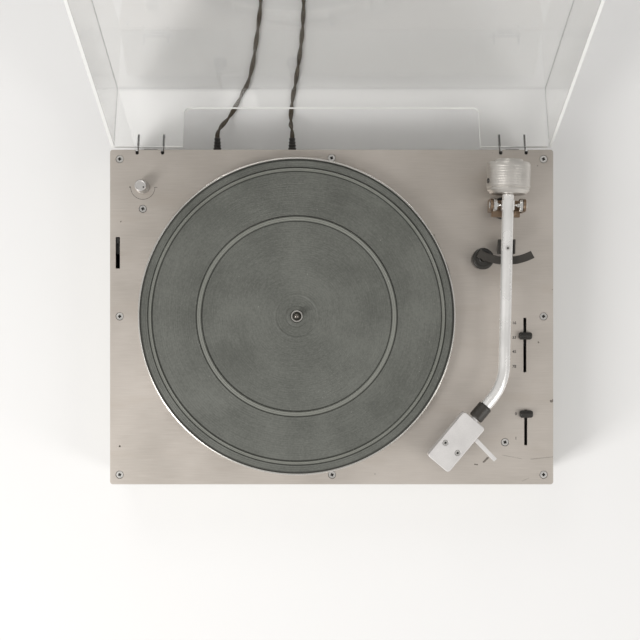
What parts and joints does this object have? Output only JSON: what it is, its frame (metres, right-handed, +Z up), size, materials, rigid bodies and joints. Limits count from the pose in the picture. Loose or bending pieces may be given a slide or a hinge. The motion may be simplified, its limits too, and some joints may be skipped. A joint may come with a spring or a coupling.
{
  "type": "turntable record player",
  "caption": "Flat record player: metal deck, idler-driven platter with ridged rubber mat, bent pivoted tonearm, slide controls and a clear hinged lid standing open.",
  "frame": {"origin": "on the floor, under the middle of the player with its lid open, cords left out", "axes": "+X to the player's right, +Y to the back, where the cords leave, +Z up"},
  "size_m": [0.4, 0.5434, 0.344],
  "materials": {
    "plate": "satin, fine brushed",
    "lacquer": "satin lacquer",
    "sheet_steel": "zinc plated, dull",
    "screw_steel": "polished",
    "wire_steel": "dark, drawn",
    "platter_aluminium": "turned, bright",
    "turned_aluminium": "finely turned",
    "arm_aluminium": "satin anodised",
    "bright_metal": "polished",
    "brass": "turned",
    "bronze": "dark, satin",
    "black_plastic": "semi-gloss",
    "rubber": "matt",
    "mat_rubber": "matt, worn",
    "cord": "smooth",
    "clear_acrylic": "clear, polished"
  },
  "bodies": {
    "root": {"top_plate": "plate", "plinth_shell": "lacquer", "bottom_cover": "sheet_steel", "foot_front_left": "rubber", "foot_front_right": "rubber", "foot_rear_left": "rubber", "foot_rear_right": "rubber", "plate_screw_1": "screw_steel", "plate_screw_2": "screw_steel", "plate_screw_3": "screw_steel", "plate_screw_4": "screw_steel", "plate_screw_5": "screw_steel", "plate_screw_6": "screw_steel", "plate_screw_7": "screw_steel", "plate_screw_8": "screw_steel", "plate_screw_9": "screw_steel", "plate_screw_10": "screw_steel", "platter_bearing": "brass", "motor_bracket": "sheet_steel", "motor_housing": "sheet_steel", "idler_arm": "sheet_steel", "mains_switch": "black_plastic", "terminal_block": "black_plastic", "arm_base": "black_plastic", "arm_rest": "black_plastic", "lift_column": "black_plastic", "hinge_clip_left": "black_plastic", "hinge_clip_right": "black_plastic", "mains_strain_relief": "black_plastic", "audio_strain_relief": "black_plastic", "mains_cord": "cord", "mains_coil": "cord", "mains_plug": "black_plastic", "audio_cord": "cord", "audio_coil": "cord", "audio_plug": "black_plastic"},
    "platter": {"platter": "platter_aluminium", "platter_mat": "mat_rubber", "spindle": "bright_metal"},
    "idler": {"idler_wheel": "rubber"},
    "motor_shaft": {"motor_pulley": "brass"},
    "arm_carriage": {"arm_yoke": "bronze", "pivot_bearing_left": "bright_metal", "pivot_bearing_right": "bright_metal"},
    "tonearm": {"arm_tube": "arm_aluminium", "arm_collar": "black_plastic", "headshell": "arm_aluminium", "cartridge": "black_plastic", "stylus": "black_plastic", "finger_lift": "arm_aluminium", "balance_stub": "wire_steel"},
    "balance_weight": {"counterweight": "turned_aluminium"},
    "arm_lift": {"lift_bar": "black_plastic"},
    "cover": {"lid": "clear_acrylic", "hinge_wire_left": "wire_steel", "hinge_wire_right": "wire_steel"},
    "speed_control": {"speed_slider": "black_plastic"},
    "power_control": {"power_slider": "black_plastic"},
    "transit_control": {"transit_slider": "sheet_steel"},
    "fine_speed_control": {"fine_speed_knob": "turned_aluminium"}
  },
  "joints": [
    {"name": "platter_spin", "type": "hinge", "parent": "root", "child": "platter", "pos_m": [-0.0312, -0.08074, 0.08], "axis": [0, 0, -1], "continuous": true},
    {"name": "idler_spin", "type": "hinge", "parent": "root", "child": "idler", "pos_m": [-0.1116, -0.00034, 0.0737], "axis": [0, 0, -1], "continuous": true},
    {"name": "motor_spin", "type": "hinge", "parent": "root", "child": "motor_shaft", "pos_m": [-0.08989, -0.00824, 0.0737], "axis": [0, 0, -1], "continuous": true},
    {"name": "arm_swing", "type": "hinge", "parent": "root", "child": "arm_carriage", "pos_m": [0.1541, 0.01646, 0.09], "axis": [0, 0, 1], "range_deg": [-38, 0]},
    {"name": "arm_raise", "type": "hinge", "parent": "arm_carriage", "child": "tonearm", "pos_m": [0.1541, 0.01646, 0.102], "axis": [-0.9997, 0.0225, 0], "range_deg": [-0.35, 4.5]},
    {"name": "weight_slide", "type": "slide", "parent": "tonearm", "child": "balance_weight", "axis": [0.0225, 0.9997, 0], "range_m": [0, 0.006]},
    {"name": "lift_rise", "type": "slide", "parent": "root", "child": "arm_lift", "axis": [0, 0, 1], "range_m": [-0.0004, 0.004]},
    {"name": "lid_hinge", "type": "hinge", "parent": "root", "child": "cover", "pos_m": [0, 0.06806, 0.0644], "axis": [1, 0, 0], "range_deg": [0, 110]},
    {"name": "speed_select", "type": "slide", "parent": "root", "child": "speed_control", "axis": [0, 1, 0], "range_m": [-0.0262, 0.0131]},
    {"name": "power_switch", "type": "slide", "parent": "root", "child": "power_control", "axis": [0, 1, 0], "range_m": [-0.022, 0]},
    {"name": "transit_slide", "type": "slide", "parent": "root", "child": "transit_control", "axis": [0, 1, 0], "range_m": [-0.022, 0]},
    {"name": "fine_speed_turn", "type": "hinge", "parent": "root", "child": "fine_speed_control", "pos_m": [-0.1704, 0.03566, 0.076], "axis": [0, 0, 1], "range_deg": [-151, 29]}
  ],
  "couplings": [
    {"joint": "idler_spin", "follows": "platter_spin", "ratio": 6.7},
    {"joint": "motor_spin", "follows": "platter_spin", "ratio": -41.875},
    {"joint": "lift_rise", "follows": "arm_raise", "m_per_rad": 0.0502}
  ]
}
